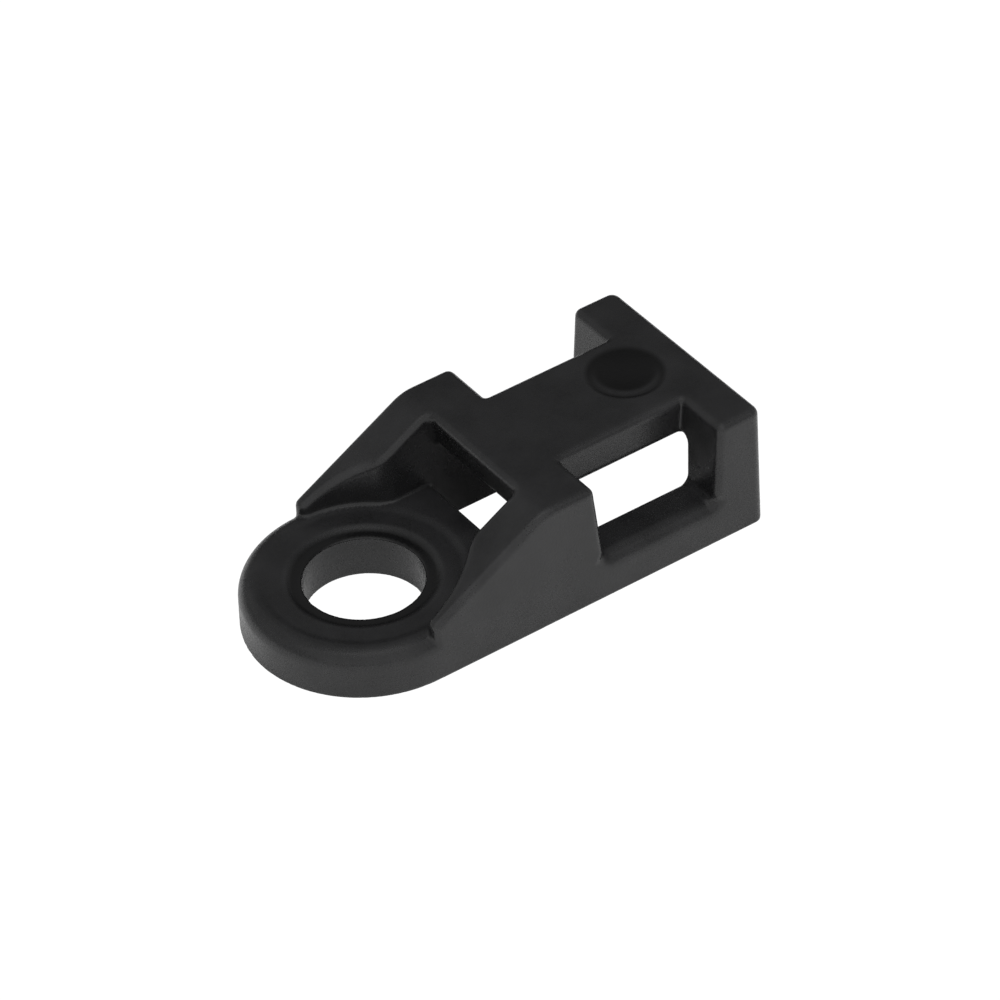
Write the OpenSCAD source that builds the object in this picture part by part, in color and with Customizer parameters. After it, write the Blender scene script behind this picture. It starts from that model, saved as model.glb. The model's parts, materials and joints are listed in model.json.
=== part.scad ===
// Screw-fixed saddle mount for a cable tie, moulded in one shot.
// Every length is in millimetres.  The screw hole's axis meets the base at the
// origin, +X runs from the screw towards the end wall and +Z leaves the base.

/* [Body] */
// Width over the two side walls
body_w = 10; // [9.6:0.1:11]
// Height from the base to the top of the saddle
body_h = 5.65; // [5.4:0.05:6.2]
// Distance from the screw axis to the foot of the end wall
end_x = 16; // [15.6:0.1:17]
// Thickness of the side walls
wall_t = 2.05; // [1.8:0.05:2.1]
// Mould draft of the long outer faces, in degrees
side_draft = 0.7; // [0:0.1:1.5]

/* [Screw tab] */
// Thickness of the tab
tab_t = 2.1; // [1.9:0.05:2.2]
// Radius of the tab's rounded rim
rim_r = 0.75; // [0.4:0.05:0.8]
// Diameter of the screw hole
hole_d = 4.9; // [4.6:0.1:5.2]
// Diameter of the shallow recess at the top of the hole
recess_d = 6.1; // [5.6:0.1:6.6]
// Depth of that recess
recess_depth = 0.2; // [0.05:0.05:0.3]
// Diameter of the round space kept clear for the screw's head
head_d = 8.6; // [8.2:0.1:8.8]

/* [Gussets] */
// Height of the gussets at their front end, level with the screw axis
gusset_front_h = 2.6; // [2.3:0.1:3]
// Radius that blends the slope into the top of the saddle
crest_r = 2; // [1:0.5:4]

/* [Saddle] */
// Distance from the screw axis to the front of the saddle
saddle_x = 5.35; // [5.2:0.05:5.6]
// Length of the horns along their top
horn_l = 2.44; // [2.2:0.02:2.6]
// Lean of the face behind each horn, in degrees
horn_lean = 6; // [2:0.5:8]
// Thickness of the bridge over the tie's path
bridge_t = 1.75; // [1.2:0.05:1.8]
// Width of the bridge between the two side notches
bridge_w = 5; // [4.6:0.1:5.4]
// Lean of the bridge's front face, in degrees
lip_lean = 10; // [5:1:12]
// Radius under the bridge's front edge, where a tie slides in
lip_r = 0.55; // [0.3:0.05:0.7]
// Height of the sills below the side notches
sill_h = 1.9; // [1.5:0.05:2]

/* [End wall] */
// Thickness of the end wall at its top
end_top_t = 2.1; // [1.8:0.02:2.2]
// Lean of the end wall's outer face, in degrees
end_draft = 0.5; // [0:0.1:1]
// Lean of the end wall's inner face, in degrees
end_inner_lean = 3.8; // [1:0.2:4.4]
// Radius of the end wall's two outer corners, seen from above
corner_r = 0.4; // [0.3:0.1:0.8]
// Mould draft of the end opening's sides, in degrees
opening_draft = 3.4; // [0:0.2:4]

/* [Round mark] */
// Diameter of the shallow round mark in the top
mark_d = 3.4; // [2.8:0.1:3.6]
// Depth of the mark
mark_depth = 0.12; // [0.05:0.01:0.2]
// Distance from the end wall's outer face to the mark's centre
mark_inset = 2.9; // [2.6:0.1:3.2]
// Distance of the mark's centre to the left of the middle
mark_y = 0.3; // [-0.4:0.1:0.4]

/* [Hidden] */
$fn = 96;
// Overshoot of the shapes that cut
over = 1;
tab_r = body_w / 2;
// Height of the recess's floor
ledge_z = tab_t - recess_depth;
// Half the clear width between the side walls
half_gap = body_w / 2 - wall_t;
// Underside of the bridge and of the two lintels
soffit_z = body_h - bridge_t;
// Angle of the gussets' sloping edge above the base
slope_a = atan((body_h - gusset_front_h) / saddle_x);
// Where the arc between slope and top meets the top
crest_end_x = saddle_x + crest_r * tan(slope_a / 2);
// Chords in each arc of an outline
arc_steps = 8;
horn_rear_x = saddle_x + horn_l;
horn_foot_x = horn_rear_x + (body_h - sill_h) * tan(horn_lean);
end_top_x = end_x - body_h * tan(end_draft);
end_inner_x = end_top_x - end_top_t;
end_foot_x = end_inner_x - (body_h - sill_h) * tan(end_inner_lean);

// Points along an arc of an outline
function arc(centre, radius, from_a, to_a) = [
    for (i = [0 : arc_steps])
        let (a = from_a + (to_a - from_a) * i / arc_steps)
            centre + radius * [cos(a), sin(a)]
];

// Outline of one whole side wall, seen from the side
module wall_outline() {
    polygon(concat(
        [[0, tab_t], [0, gusset_front_h]],
        arc([crest_end_x, body_h - crest_r], crest_r, 90 + slope_a, 90),
        [
            [horn_rear_x, body_h],
            [horn_foot_x, sill_h],
            [end_foot_x, sill_h],
            [end_inner_x, body_h],
            [end_top_x, body_h],
            [end_x, 0],
            [saddle_x, 0],
            [saddle_x, tab_t]
        ]
    ));
}

// Extrudes an outline seen from the side over a stretch of the width
module across(from_y, to_y) {
    translate([0, to_y, 0])
        rotate([90, 0, 0])
            linear_extrude(to_y - from_y)
                children();
}

// Half the width between the drafted outer faces, at a height
function half_width(z) = body_w / 2 - z * tan(side_draft);

// Half the clear width between side faces of some draft, at a height
function half_opening(z, draft) = half_gap - z * tan(draft);

// Extrudes a section seen from the end over a stretch of the length
module along(from_x, to_x) {
    translate([from_x, 0, 0])
        rotate([90, 0, 90])
            linear_extrude(to_x - from_x)
                children();
}

// Section of the left side wall above a height
module wall_section(from_z, inner_draft) {
    polygon([
        [half_opening(from_z, inner_draft), from_z],
        [half_width(from_z), from_z],
        [half_width(body_h), body_h],
        [half_opening(body_h, inner_draft), body_h]
    ]);
}

// Left side wall, cut to one stretch of the length
module wall(from_x, to_x, from_z = 0, inner_draft = 0) {
    intersection() {
        across(0, body_w / 2)
            wall_outline();
        along(from_x, to_x)
            wall_section(from_z, inner_draft);
    }
}

// Mirrors a left-hand shape to the right-hand side
module on_right() {
    mirror([0, 1, 0])
        children();
}

// Round space kept clear for the screw's head and driver
module head_clearance() {
    cylinder(d = head_d, h = body_h);
}

// Shallow round mark in the top face
module mark_recess() {
    translate([end_x - mark_inset, mark_y, body_h - mark_depth])
        cylinder(d = mark_d, h = over);
}

// Half section of the tab's round front, with its rounded rim
module tab_section() {
    polygon(concat(
        [[0, 0], [tab_r, 0]],
        arc([tab_r - rim_r, tab_t - rim_r], rim_r, 0, 90),
        [[0, tab_t]]
    ));
}

module tab_blank() {
    rotate_extrude()
        tab_section();
    translate([0, -tab_r, 0])
        cube([saddle_x, body_w, tab_t]);
}

module screw_tab() {
    color("#1c1c1e")
        difference() {
            tab_blank();
            translate([0, 0, -over])
                cylinder(d = hole_d, h = tab_t + 2 * over);
            translate([0, 0, ledge_z])
                cylinder(d = recess_d, h = over);
        }
}

module left_gusset() {
    color("#1c1c1e")
        difference() {
            wall(0, saddle_x, tab_t);
            head_clearance();
        }
}

module right_gusset() {
    on_right() left_gusset();
}

module left_horn() {
    color("#1c1c1e")
        wall(saddle_x, horn_foot_x);
}

module right_horn() {
    on_right() left_horn();
}

// Outline of the bar that joins the horns, with its leaning, rounded front edge
module front_lintel_outline() {
    lip_x = saddle_x + bridge_t * tan(lip_lean) + lip_r / tan(45 + lip_lean / 2);
    intersection() {
        wall_outline();
        polygon(concat(
            [[saddle_x, body_h]],
            arc([lip_x, soffit_z + lip_r], lip_r, 180 + lip_lean, 270),
            [
                [horn_foot_x, soffit_z],
                [horn_foot_x, body_h]
            ]
        ));
    }
}

module front_lintel() {
    color("#1c1c1e")
        across(-half_gap, half_gap)
            front_lintel_outline();
}

module left_sill() {
    color("#1c1c1e")
        wall(horn_foot_x, end_foot_x);
}

module right_sill() {
    on_right() left_sill();
}

// Plan of the left half of the end wall, with its rounded outer corner
module end_plan() {
    polygon(concat(
        [[end_foot_x, 0], [end_x, 0]],
        arc([end_x - corner_r, body_w / 2 - corner_r], corner_r, 0, 90),
        [[end_foot_x, body_w / 2]]
    ));
}

module left_end_post() {
    color("#1c1c1e")
        intersection() {
            wall(end_foot_x, end_x, inner_draft = opening_draft);
            linear_extrude(body_h)
                end_plan();
        }
}

module right_end_post() {
    on_right() left_end_post();
}

// Section of the space between the end posts
module end_gap_section() {
    top_y = half_opening(body_h, opening_draft);
    polygon([[-half_gap, 0], [half_gap, 0], [top_y, body_h], [-top_y, body_h]]);
}

// Outline of the beam over the opening in the end wall
module end_lintel_outline() {
    intersection() {
        wall_outline();
        translate([end_foot_x, soffit_z])
            square([end_x - end_foot_x, bridge_t]);
    }
}

module end_lintel() {
    color("#1c1c1e")
        difference() {
            intersection() {
                across(-half_gap, half_gap)
                    end_lintel_outline();
                along(end_foot_x, end_x)
                    end_gap_section();
            }
            mark_recess();
        }
}

module bridge() {
    color("#1c1c1e")
        difference() {
            translate([horn_rear_x, -bridge_w / 2, soffit_z])
                cube([end_inner_x - horn_rear_x, bridge_w, bridge_t]);
            across(-half_gap, half_gap) {
                front_lintel_outline();
                end_lintel_outline();
            }
            mark_recess();
        }
}

screw_tab();
left_gusset();
right_gusset();
left_horn();
right_horn();
front_lintel();
bridge();
left_sill();
right_sill();
left_end_post();
right_end_post();
end_lintel();
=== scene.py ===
"""Looks of a screw-fixed saddle mount for a cable tie: one black nylon moulding on a white table.

Lengths are in metres, in the CAD part's frame: the screw hole's axis meets the base at the
origin, +X runs towards the end wall and +Z leaves the base.
"""

import json
import math

import bpy
import numpy as np
from mathutils import Matrix, Vector


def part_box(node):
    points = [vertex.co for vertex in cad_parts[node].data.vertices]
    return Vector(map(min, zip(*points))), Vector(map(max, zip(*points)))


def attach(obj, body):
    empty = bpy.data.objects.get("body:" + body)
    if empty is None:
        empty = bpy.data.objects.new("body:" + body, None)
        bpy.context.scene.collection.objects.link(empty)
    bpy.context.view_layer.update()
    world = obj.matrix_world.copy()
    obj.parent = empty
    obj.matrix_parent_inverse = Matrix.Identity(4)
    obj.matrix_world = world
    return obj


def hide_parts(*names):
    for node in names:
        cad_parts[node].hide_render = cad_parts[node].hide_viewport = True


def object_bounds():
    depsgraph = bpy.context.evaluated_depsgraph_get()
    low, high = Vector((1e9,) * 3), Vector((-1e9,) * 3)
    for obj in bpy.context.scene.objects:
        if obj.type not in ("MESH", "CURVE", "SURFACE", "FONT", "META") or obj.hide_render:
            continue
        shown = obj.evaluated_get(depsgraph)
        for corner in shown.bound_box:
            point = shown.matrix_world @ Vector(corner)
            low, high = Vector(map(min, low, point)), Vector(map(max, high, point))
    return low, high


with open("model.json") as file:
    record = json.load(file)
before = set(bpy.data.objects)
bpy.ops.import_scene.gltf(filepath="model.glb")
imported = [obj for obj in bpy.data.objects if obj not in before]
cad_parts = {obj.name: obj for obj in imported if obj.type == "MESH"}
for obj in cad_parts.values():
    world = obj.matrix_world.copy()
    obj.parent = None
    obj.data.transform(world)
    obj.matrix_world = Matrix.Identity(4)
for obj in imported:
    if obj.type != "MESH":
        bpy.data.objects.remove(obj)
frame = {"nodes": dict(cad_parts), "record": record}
cad_low, cad_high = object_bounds()

MM = 0.001
CENTRE = (cad_low + cad_high) / 2

# ---------------------------------------------------------------- sizes from the frame

MOUNTS = {mount["name"]: mount for mount in frame["record"]["mounts"]}
HOLE_R = MOUNTS["screw_hole"]["dims"]["r_mm"] * MM
LEDGE_Z = MOUNTS["screw_hole"]["dims"]["length_mm"] * MM

_, TAB_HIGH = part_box("screw_tab")
HORN_LOW, HORN_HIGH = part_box("left_horn")
BRIDGE_LOW, BRIDGE_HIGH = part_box("bridge")
_, SILL_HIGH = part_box("left_sill")
POST_LOW, POST_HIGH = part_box("left_end_post")

HEIGHT = HORN_HIGH.z
HALF_W = HORN_HIGH.y
HALF_GAP = HORN_LOW.y
HALF_BRIDGE = BRIDGE_HIGH.y
TAB_TOP = TAB_HIGH.z
SADDLE_X = TAB_HIGH.x
SOFFIT_Z = BRIDGE_LOW.z
SILL_TOP = SILL_HIGH.z
END_X = POST_HIGH.x

# Slopes of the leaning faces, as travel along the part or across it for each unit of height
HORN_LEAN = (HORN_HIGH.x - BRIDGE_LOW.x) / (HEIGHT - SILL_TOP)
END_INNER_LEAN = (BRIDGE_HIGH.x - SILL_HIGH.x) / (HEIGHT - SILL_TOP)
OPENING_LEAN = (HALF_GAP - POST_LOW.y) / HEIGHT
SIDE_LEAN = math.tan(math.radians(0.7))
END_LEAN = math.tan(math.radians(0.5))
LIP_LEAN = math.tan(math.radians(10))

# Height of the gussets at their front end, and the slope from there up to the saddle
GUSSET_FRONT_Z = 2.6 * MM
SLOPE = (HEIGHT - GUSSET_FRONT_Z) / SADDLE_X
SLOPE_COS = 1 / math.hypot(1, SLOPE)

# Round space for the screw's head: the tab's top sinks a little from its edge inwards
SEAT_R = 4.3 * MM
SEAT_FLAT_R = 3.85 * MM
SEAT_DEPTH = 0.07 * MM

# Recess at the top of the screw hole, and the lean of its wall
RECESS_R = 3.05 * MM
RECESS_LEAN = 0.5

# Round mark in the top: a dish in a wide shallow sink, with a groove along part of its edge
MARK_X = END_X - 2.9 * MM
MARK_Y = 0.3 * MM
MARK_R = 1.7 * MM
SINK_R = 2.5 * MM
SINK_DEPTH = 0.03 * MM
BOWL_DEPTH = 0.08 * MM
GROOVE_R = 1.48 * MM
GROOVE_W = 0.16 * MM
GROOVE_DEPTH = 0.06 * MM

# The groove faces the mark's front and right: how much more to the right than to the front, and
# how far that way it starts and is at its full depth
GROOVE_SLANT = 1.5
GROOVE_START = -0.72 * MARK_R
GROOVE_FULL = 1.44 * MARK_R

# Polish and painted shade: whole in the mark but for part of a ring, and less on the ledge
# The part ring is left lighter in colour than the rest of the mark: a painted highlight
HIGHLIGHT_RING_R = 1.32 * MM
HIGHLIGHT_RING_SHARE = 0.9
# On the ledge the darker colour is painted shade of the recess round the screw hole
LEDGE_POLISH_AND_SHADE = 0.8

# Radii of the moulding's outer edges
EDGE_R = 0.33 * MM
RIM_R = 0.75 * MM
SILL_R = 0.65 * MM
CORNER_R = 0.44 * MM
CREST_R = 2.0 * MM
LIP_R = 0.55 * MM
BASE_R = 0.07 * MM
RECESS_EDGE_R = 0.18 * MM
HOLE_EDGE_R = 0.08 * MM

# Radii of its inner corners
PORTAL_R = 0.3 * MM
NOTCH_FLOOR_R = 0.3 * MM
NOTCH_CORNER_R = 0.12 * MM
FOOT_R = 0.15 * MM
FOOT_FADE = 0.7 * RIM_R
LEDGE_FILLET_R = 0.12 * MM

# Size of the grid cells that the surface is drawn on
CELL = 0.1 * MM


# ---------------------------------------------------------------- shape of the moulding
# Every field below is a signed distance, or close to one: below zero inside a shape.

def rounded(a, b, radius, lean=0.0):
    """Where shapes a and b overlap, with the edge between them rounded.

    lean is the cosine of the angle between the two outward directions."""
    u = a + radius
    v = b + radius
    at_edge = (u > lean * v) & (v > lean * u)
    reach = np.sqrt(np.maximum(u * u + v * v - 2 * lean * u * v, 0) / (1 - lean * lean))
    return np.where(at_edge, reach - radius, np.maximum(a, b))


def filleted(a, b, radius):
    """Shapes a and b together, with a fillet where they meet."""
    return -rounded(-a, -b, radius)


def plane(value, lean):
    """Distance from a leaning face, from the distance along one axis and the face's lean."""
    return value / math.hypot(1, lean)


def ramp(value, start, end):
    """0 before start, 1 after end and a straight rise between."""
    return np.clip((value - start) / (end - start), 0, 1)


def smooth(share):
    """Eases a share of 0 to 1 at both ends."""
    return share * share * (3 - 2 * share)


def crescent(x, y, radius, width):
    """1 along the front and right side of a ring round the mark's centre, fading to 0 off it."""
    ring = np.exp(-((np.hypot(x - MARK_X, y - MARK_Y) - radius) / width) ** 2)
    towards = MARK_X - x + GROOVE_SLANT * (MARK_Y - y)
    return ring * smooth(ramp(towards, GROOVE_START, GROOVE_FULL))


def mark_depth(x, y):
    """Depth of the dished round mark in the top face, with a sink and a part groove round it."""
    reach = np.hypot(x - MARK_X, y - MARK_Y)
    sink = SINK_DEPTH * smooth(ramp(reach, SINK_R, MARK_R))
    bowl = BOWL_DEPTH * np.maximum(1 - (reach / GROOVE_R) ** 2, 0)
    return sink + bowl + GROOVE_DEPTH * crescent(x, y, GROOVE_R, GROOVE_W)


def outline(x, y, z):
    """The upright outer faces: round in front of the screw hole, straight along the sides."""
    rim = np.where(x < 0, np.hypot(x, y), np.abs(y)) - HALF_W + z * SIDE_LEAN
    end = plane(x - END_X + z * END_LEAN, END_LEAN)
    return rounded(rim, end, CORNER_R)


def tab(x, y, z):
    """The tab, whose top sinks a little under the screw's head and falls away at the rim."""
    seat = SEAT_DEPTH * smooth(ramp(np.hypot(x, y), SEAT_R, SEAT_FLAT_R))
    block = rounded(outline(x, y, z), z - TAB_TOP + seat, RIM_R)
    return rounded(block, x - SADDLE_X, EDGE_R)


def channel(x, y, z):
    """The space between the walls: between the gussets, under the bridge and out at the end."""
    narrow = OPENING_LEAN * ramp(x, SILL_HIGH.x - PORTAL_R, SILL_HIGH.x + PORTAL_R)
    gap = np.abs(y) - HALF_GAP + z * narrow
    lip = plane(SADDLE_X + (HEIGHT - z) * LIP_LEAN - x, LIP_LEAN)
    slab = rounded(lip, SOFFIT_Z - z, LIP_R, lean=math.sin(math.atan(LIP_LEAN)))
    return rounded(gap, -slab, PORTAL_R)


def notch(x, y, z):
    """The open slot on either side of the bridge."""
    horn = plane(BRIDGE_LOW.x + (HEIGHT - z) * HORN_LEAN - x, HORN_LEAN)
    end = plane(x - BRIDGE_HIGH.x + (HEIGHT - z) * END_INNER_LEAN, END_INNER_LEAN)
    slot = rounded(np.maximum(horn, end), SILL_TOP - z, NOTCH_FLOOR_R)
    return rounded(slot, HALF_BRIDGE - np.abs(y), NOTCH_CORNER_R)


def frame_body(x, y, z):
    """Gussets, horns, bridge, sills and end wall as one block with its openings cut."""
    top = z - HEIGHT + mark_depth(x, y)
    slope = plane(z - GUSSET_FRONT_Z - x * SLOPE, SLOPE)
    roof = rounded(top, slope, CREST_R, lean=SLOPE_COS)
    profile = rounded(roof, -x, EDGE_R, lean=SLOPE * SLOPE_COS)
    block = rounded(outline(x, y, z), profile, EDGE_R)
    notch_edge_r = EDGE_R + (SILL_R - EDGE_R) * ramp(z, SILL_TOP + EDGE_R, SILL_TOP)
    slotted = rounded(block, -notch(x, y, z), notch_edge_r)
    hollow = rounded(slotted, -channel(x, y, z), EDGE_R)
    return rounded(hollow, SEAT_R - np.hypot(x, y), EDGE_R)


def screw_opening(x, y):
    """The screw hole."""
    return np.hypot(x, y) - HOLE_R


def recess(x, y, z):
    """The shallow round recess at the top of the screw hole."""
    wall = plane(np.hypot(x, y) - RECESS_R + (TAB_TOP - z) * RECESS_LEAN, RECESS_LEAN)
    return rounded(wall, LEDGE_Z - z, LEDGE_FILLET_R)


def moulding(x, y, z):
    """The whole moulding.

    The fillet at the gussets' foot fades out down the rim, where both shapes share one face."""
    foot_r = FOOT_R * ramp(z, TAB_TOP - FOOT_FADE, TAB_TOP)
    solid = filleted(tab(x, y, z), frame_body(x, y, z), foot_r)
    solid = rounded(solid, -z, BASE_R)
    solid = rounded(solid, -recess(x, y, z), RECESS_EDGE_R)
    return rounded(solid, -screw_opening(x, y), HOLE_EDGE_R)


# ---------------------------------------------------------------- mesh of a shape

def surface_net(field, low, high, cell):
    """Points and quads of a shape's surface, with one point in each grid cell that it crosses.

    Each grid line that crosses the surface gives a quad between the four cells round it, and a
    cell's point is the mean of the crossings on its edges."""
    counts = np.ceil((high - low) / cell).astype(int) + 1
    lines = [low[axis] + cell * np.arange(counts[axis]) for axis in range(3)]
    value = field(*np.meshgrid(*lines, indexing="ij"))
    units = np.eye(3, dtype=int)
    rings = []
    crossings = []
    for axis in range(3):
        start = np.moveaxis(np.moveaxis(value, axis, 0)[:-1], 0, axis)
        end = np.moveaxis(np.moveaxis(value, axis, 0)[1:], 0, axis)
        crossed = (start < 0) != (end < 0)
        at = np.argwhere(crossed)
        start = start[crossed]
        end = end[crossed]
        crossings.append(at + np.outer(start / (start - end), units[axis]))
        across = units[(axis + 1) % 3]
        upward = units[(axis + 2) % 3]
        ring = np.stack([at, at - across, at - across - upward, at - upward], axis=1)
        ring[start > 0] = ring[start > 0][:, ::-1]
        rings.append(ring)
    rings = np.concatenate(rings)
    crossings = np.repeat(np.concatenate(crossings), 4, axis=0)
    keys = np.ravel_multi_index(rings.reshape(-1, 3).T, counts)
    corners = np.unique(keys, return_inverse=True)[1]
    totals = [np.bincount(corners, weights=crossings[:, axis]) for axis in range(3)]
    points = low + cell * np.stack(totals, axis=1) / np.bincount(corners)[:, None]
    return points, corners.reshape(-1, 4)


def gradient(field, points, reach):
    """Slope of a field at some points, measured over a short reach."""
    slopes = []
    for step in np.eye(3) * reach:
        rise = field(*(points + step).T) - field(*(points - step).T)
        slopes.append(rise / (2 * reach))
    return np.stack(slopes, axis=1)


def settle(field, points, reach, rounds=5, least_square=0.25):
    """Moves points that are near a surface onto it, in steps held short where the field is flat."""
    for _ in range(rounds):
        slope = gradient(field, points, reach)
        square = np.maximum((slope ** 2).sum(axis=1), least_square)
        points = points - (field(*points.T) / square)[:, None] * slope
    return points


def edge_share(field, points, reach):
    """How far a point lies on a rounded outer edge, from 0 on a flat face to 1.

    At such an edge the field rises more on both sides of a point than it does at a flat face."""
    total = -6 * field(*points.T)
    for step in np.eye(3) * reach:
        total = total + field(*(points + step).T) + field(*(points - step).T)
    return np.clip(total / reach, 0, 1)


def polish_and_shade_share(x, y, z):
    """How polished and painted with shade a point is, in the round mark and on the ledge round the
    screw hole.
    """
    # A part ring in the mark is left out of the darkening, so it stays lighter: a painted highlight
    wear_and_highlight = HIGHLIGHT_RING_SHARE * crescent(x, y, HIGHLIGHT_RING_R, GROOVE_W)
    in_mark = ramp(np.hypot(x - MARK_X, y - MARK_Y), MARK_R, GROOVE_R) * (z > SOFFIT_Z)
    in_recess = ramp(np.hypot(x, y), RECESS_R, RECESS_R - RECESS_EDGE_R)
    on_ledge = in_recess * (z > LEDGE_Z - HOLE_EDGE_R / 2)
    return in_mark * (1 - wear_and_highlight) + LEDGE_POLISH_AND_SHADE * on_ledge


def keep_shares(mesh, name, shares):
    """Keeps one share for each point of a mesh, for its material to read."""
    attribute = mesh.attributes.new(name, "FLOAT", "POINT")
    attribute.data.foreach_set("value", shares.astype(np.float32))


def solid_mesh(name, field):
    """A smooth mesh of a shape, which keeps how far each point is on an edge, and its polish and
    painted shade.
    """
    margin = Vector((1, 1, 1)) * CELL * 1.5
    low = np.array(cad_low - margin)
    high = np.array(cad_high + margin)
    points, quads = surface_net(field, low, high, CELL)
    points = settle(field, points, reach=CELL / 10)
    mesh = bpy.data.meshes.new(name)
    mesh.from_pydata(points.tolist(), [], quads.tolist())
    mesh.shade_smooth()
    keep_shares(mesh, "edge", edge_share(field, points, reach=EDGE_R / 2))
    keep_shares(mesh, "polish_and_shade", polish_and_shade_share(*points.T))
    slope = gradient(field, points, reach=CELL / 4)
    normals = slope / np.linalg.norm(slope, axis=1)[:, None]
    mesh.normals_split_custom_set_from_vertices(normals.tolist())
    return mesh


# ---------------------------------------------------------------- materials

def new_material(name):
    """A node material, with its tree and its main shader."""
    material = bpy.data.materials.new(name)
    material.use_nodes = True
    tree = material.node_tree
    return material, tree, tree.nodes["Principled BSDF"]


def add_node(tree, kind, inputs=None, **settings):
    """A node with its settings and its inputs set, each input a value or a socket to link."""
    node = tree.nodes.new(kind)
    for key, value in settings.items():
        setattr(node, key, value)
    for key, value in (inputs or {}).items():
        if isinstance(value, bpy.types.NodeSocket):
            tree.links.new(value, node.inputs[key])
        else:
            node.inputs[key].default_value = value
    return node


def mm_coordinates(tree):
    """Object coordinates in millimetres."""
    place = add_node(tree, "ShaderNodeTexCoord").outputs["Object"]
    scaled = add_node(tree, "ShaderNodeVectorMath", {0: place, "Scale": 1 / MM}, operation="SCALE")
    return scaled.outputs["Vector"]


def noise(tree, place, size_mm, detail, seed):
    """Noise whose lumps are about one size across."""
    settings = {"Vector": place, "W": seed, "Scale": 1 / size_mm, "Detail": detail}
    return add_node(tree, "ShaderNodeTexNoise", settings, noise_dimensions="4D").outputs["Fac"]


def mapped(tree, value, low, high, from_low=0.0, from_high=1.0):
    """A value taken from one range to another."""
    ends = {"From Min": from_low, "From Max": from_high, "To Min": low, "To Max": high}
    return add_node(tree, "ShaderNodeMapRange", {"Value": value, **ends}).outputs["Result"]


def math_node(tree, operation, a, b):
    """The result of an operation on two values."""
    return add_node(tree, "ShaderNodeMath", {0: a, 1: b}, operation=operation).outputs["Value"]


def mixed_colour(tree, share, first, second):
    """Two colours mixed, where the share is the second one's.

    A Mix node takes two colours in its sockets 6 and 7, and gives a colour in socket 2."""
    sockets = {"Factor": share, 6: first, 7: second}
    return add_node(tree, "ShaderNodeMix", sockets, data_type="RGBA").outputs[2]


def point_share(tree, name):
    """A share that the mesh keeps for each of its points."""
    return add_node(tree, "ShaderNodeAttribute", attribute_name=name).outputs["Fac"]


def bump(tree, height, depth_mm, strength, under=None):
    """A surface direction that follows small heights, on top of another one if that is given."""
    inputs = {"Height": height, "Distance": depth_mm * MM, "Strength": strength}
    if under is not None:
        inputs["Normal"] = under
    return add_node(tree, "ShaderNodeBump", inputs).outputs["Normal"]


def nylon_colour(tree, mottle, speckle, rubbed, polish_and_shade):
    """Uneven black, a little lighter where it is rubbed, and painted darkest as shade where it is
    polished.
    """
    deep = (0.008, 0.008, 0.0084, 1)
    plain = (0.0165, 0.0165, 0.0172, 1)
    # Lighter black of rubbed edges, which is wear
    wear_and_highlight = (0.028, 0.028, 0.029, 1)
    # Near black, painted as shade in the round mark and on the screw hole's ledge
    painted_shade = (0.001, 0.001, 0.0011, 1)
    uneven = mapped(tree, mottle, 0.0, 1.0, from_low=0.3, from_high=0.7)
    flecked = math_node(tree, "MULTIPLY", speckle, 0.35)
    lightened = math_node(tree, "MULTIPLY", rubbed, 0.45)
    colour = mixed_colour(tree, uneven, deep, plain)
    colour = mixed_colour(tree, flecked, colour, plain)
    colour = mixed_colour(tree, lightened, colour, wear_and_highlight)
    return mixed_colour(tree, polish_and_shade, colour, painted_shade)


def nylon_roughness(tree, cloud, speckle, rubbed, polish_and_shade):
    """Satin with slow changes and a fine speckle, smoother where it is rubbed or polished."""
    slow = mapped(tree, cloud, -0.05, 0.05, from_low=0.3, from_high=0.7)
    fine = mapped(tree, speckle, 0.26, 0.36)
    by_wear = math_node(tree, "MULTIPLY", rubbed, 0.06)
    by_polish = math_node(tree, "MULTIPLY", polish_and_shade, 0.12)
    roughness = math_node(tree, "ADD", slow, fine)
    roughness = math_node(tree, "SUBTRACT", roughness, by_wear)
    return math_node(tree, "SUBTRACT", roughness, by_polish)


def nylon():
    """Black moulded nylon: a faint grain, slow changes of gloss, rubbed edges, polished spots with
    painted shade.
    """
    material, tree, shader = new_material("black_nylon")
    place = mm_coordinates(tree)
    grain = noise(tree, place, size_mm=0.11, detail=3, seed=1.0)
    mottle = noise(tree, place, size_mm=1.6, detail=4, seed=2.0)
    cloud = noise(tree, place, size_mm=5.0, detail=2, seed=3.0)
    speckle = mapped(tree, grain, 0.0, 1.0, from_low=0.35, from_high=0.65)
    patches = mapped(tree, mottle, 0.35, 1.0, from_low=0.35, from_high=0.65)
    rubbed = math_node(tree, "MULTIPLY", point_share(tree, "edge"), patches)
    # Polish smooths the roughness, and it also darkens the colour as painted shade
    polish_and_shade = point_share(tree, "polish_and_shade")

    colour = nylon_colour(tree, mottle, speckle, rubbed, polish_and_shade)
    tree.links.new(colour, shader.inputs["Base Color"])
    roughness = nylon_roughness(tree, cloud, speckle, rubbed, polish_and_shade)
    tree.links.new(roughness, shader.inputs["Roughness"])
    shader.inputs["IOR"].default_value = 1.5
    grained = bump(tree, grain, depth_mm=0.008, strength=0.7)
    waved = bump(tree, mottle, depth_mm=0.03, strength=0.5, under=grained)
    tree.links.new(waved, shader.inputs["Normal"])
    return material


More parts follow.
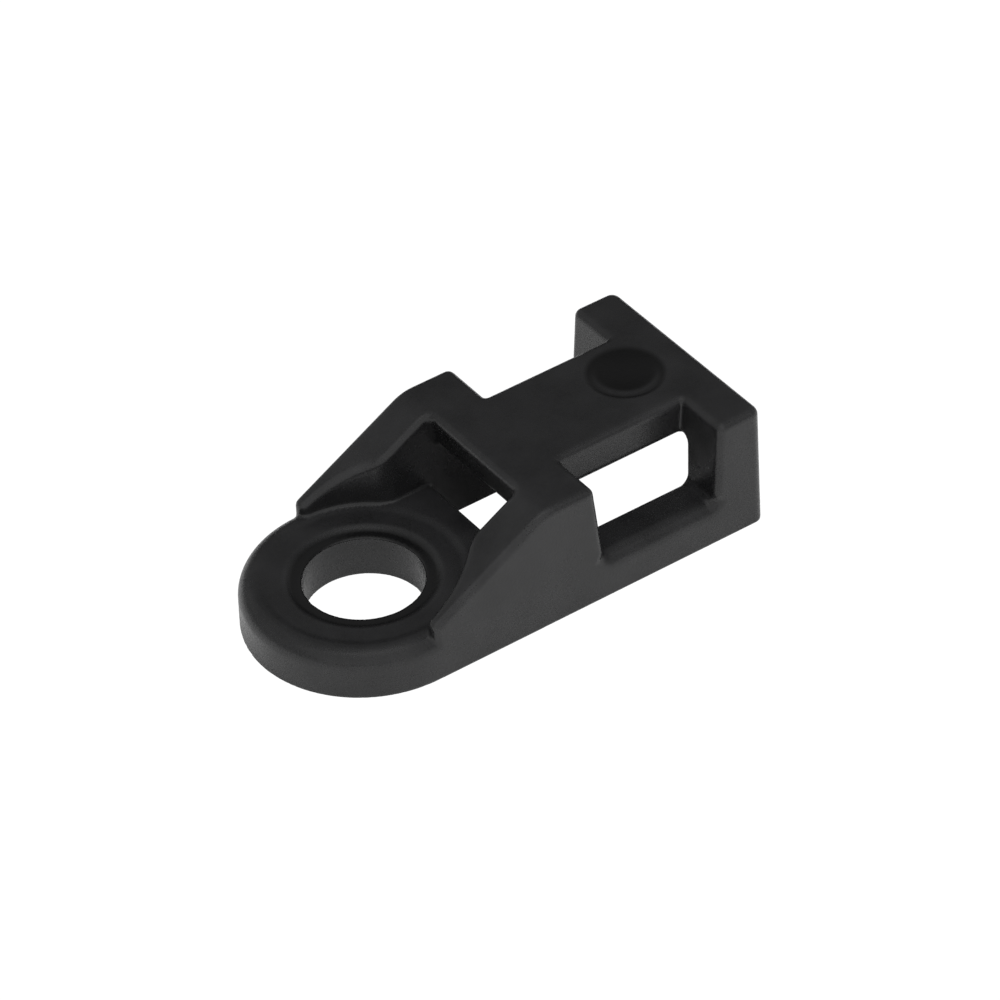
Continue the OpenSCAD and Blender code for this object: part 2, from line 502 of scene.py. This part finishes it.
def table_top():
    """Plain white table: evenly white to look at, and shaded under the mount for its reflections."""
    paint = (0.85, 0.85, 0.85, 1)
    just_past_white = 1.05
    material, tree, shader = new_material("white_table")
    shader.inputs["Base Color"].default_value = paint
    shader.inputs["Roughness"].default_value = 0.9
    glow = add_node(tree, "ShaderNodeEmission", {"Strength": just_past_white})
    seen = add_node(tree, "ShaderNodeLightPath").outputs["Is Camera Ray"]
    either = add_node(
        tree, "ShaderNodeMixShader",
        {0: seen, 1: shader.outputs["BSDF"], 2: glow.outputs["Emission"]},
    )
    tree.links.new(either.outputs["Shader"], tree.nodes["Material Output"].inputs["Surface"])
    return material


# ---------------------------------------------------------------- pieces

def build_moulding():
    """The whole mount: one piece, as it is moulded, in place of the CAD's twelve members."""
    obj = bpy.data.objects.new("mount_moulding", solid_mesh("mount_moulding", moulding))
    bpy.context.scene.collection.objects.link(obj)
    obj.data.materials.append(nylon())
    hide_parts(*frame["nodes"])
    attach(obj, "root")


def build_table():
    """A wide flat table a hair below the mount's base, so that the two faces don't coincide."""
    half = 2.0
    top = -0.01 * MM
    corners = [(-half, -half, top), (half, -half, top), (half, half, top), (-half, half, top)]
    mesh = bpy.data.meshes.new("table")
    mesh.from_pydata(corners, [], [(0, 1, 2, 3)])
    mesh.materials.append(table_top())
    obj = bpy.data.objects.new("table", mesh)
    bpy.context.scene.collection.objects.link(obj)


# ---------------------------------------------------------------- light and camera

def direction(azimuth, elevation):
    """Unit vector towards a place round the object: azimuth 0 is on the -Y side, 90 on the +X."""
    a = math.radians(azimuth)
    e = math.radians(elevation)
    return Vector((math.sin(a) * math.cos(e), -math.cos(a) * math.cos(e), math.sin(e)))


# Distance of the softboxes from the object
LIGHT_DISTANCE = 0.4

# Greys of the room by height, from 0 at the horizon to 1 straight overhead, and its dark side,
# which is the side across from the camera
ROOM_GREYS = ((0.0, 0.65), (0.3, 0.35), (0.6, 0.28), (0.8, 0.15), (0.9, 0.3), (1.0, 0.5))
DARK_SIDE = direction(146, 0)

# The photograph's view, fitted to its outlines: the direction back to the camera, its distance,
# its turn about its own axis, the point that it faces and its lens
VIEW_BACK = direction(-33.67, 39.59)
VIEW_DISTANCE = 222.2 * MM
VIEW_ROLL = math.radians(2.774)
VIEW_AIM = CENTRE + Vector((0.860, -0.373, 0.041)) * MM
LENS_MM = 201.9


def add_softbox(name, azimuth, elevation, size, watts, mirrored=True):
    """A soft rectangular light that faces the object, and may be left out of its reflections."""
    light = bpy.data.lights.new(name, "AREA")
    light.shape = "RECTANGLE"
    light.size, light.size_y = size
    light.energy = watts
    obj = bpy.data.objects.new(name, light)
    towards = direction(azimuth, elevation)
    obj.location = CENTRE + towards * LIGHT_DISTANCE
    obj.rotation_mode = "QUATERNION"
    obj.rotation_quaternion = towards.to_track_quat("Z", "Y")
    obj.visible_glossy = mirrored
    bpy.context.scene.collection.objects.link(obj)


def build_room():
    """Light from all round: brightest at the horizon, dim high up and dark behind the mount."""
    world = bpy.data.worlds.new("room")
    bpy.context.scene.world = world
    world.use_nodes = True
    tree = world.node_tree
    tree.nodes.clear()
    place = add_node(tree, "ShaderNodeTexCoord").outputs["Generated"]
    height = add_node(tree, "ShaderNodeSeparateXYZ", {0: place}).outputs["Z"]
    greys = add_node(tree, "ShaderNodeValToRGB", {"Fac": height})
    elements = greys.color_ramp.elements
    while len(elements) < len(ROOM_GREYS):
        elements.new(0.5)
    for element, (position, grey) in zip(elements, ROOM_GREYS):
        element.position = position
        element.color = (grey, grey, grey, 1)
    behind = add_node(
        tree, "ShaderNodeVectorMath", {0: place, 1: DARK_SIDE}, operation="DOT_PRODUCT"
    ).outputs["Value"]
    limit = mapped(tree, behind, 1.0, 0.0)
    glow = math_node(tree, "MINIMUM", greys.outputs["Color"], limit)
    room = add_node(tree, "ShaderNodeBackground", {"Strength": glow})
    output = tree.nodes.new("ShaderNodeOutputWorld")
    tree.links.new(room.outputs["Background"], output.inputs["Surface"])


def build_camera():
    """A long lens, turned a little about its own axis, at the photograph's viewing angle."""
    camera = bpy.data.cameras.new("camera")
    camera.sensor_width = 36
    camera.lens = LENS_MM
    camera.clip_start = 0.01
    camera.clip_end = 10
    right = Vector((0, 0, 1)).cross(VIEW_BACK).normalized()
    up = VIEW_BACK.cross(right)
    turned_right = right * math.cos(VIEW_ROLL) - up * math.sin(VIEW_ROLL)
    turned_up = right * math.sin(VIEW_ROLL) + up * math.cos(VIEW_ROLL)
    turn = Matrix((turned_right, turned_up, VIEW_BACK)).transposed()
    obj = bpy.data.objects.new("camera", camera)
    obj.matrix_world = Matrix.Translation(VIEW_AIM + VIEW_BACK * VIEW_DISTANCE) @ turn.to_4x4()
    bpy.context.scene.collection.objects.link(obj)
    bpy.context.scene.camera = obj


build_moulding()
build_table()
build_room()
add_softbox("front_softbox", azimuth=-30, elevation=45, size=(0.8, 0.6), watts=0.64)
add_softbox("left_softbox", azimuth=-140, elevation=42, size=(0.5, 0.3), watts=0.06)
add_softbox("top_softbox", azimuth=-10, elevation=75, size=(0.3, 0.3), watts=1.2, mirrored=False)
build_camera()
bpy.context.scene.view_settings.view_transform = "Standard"
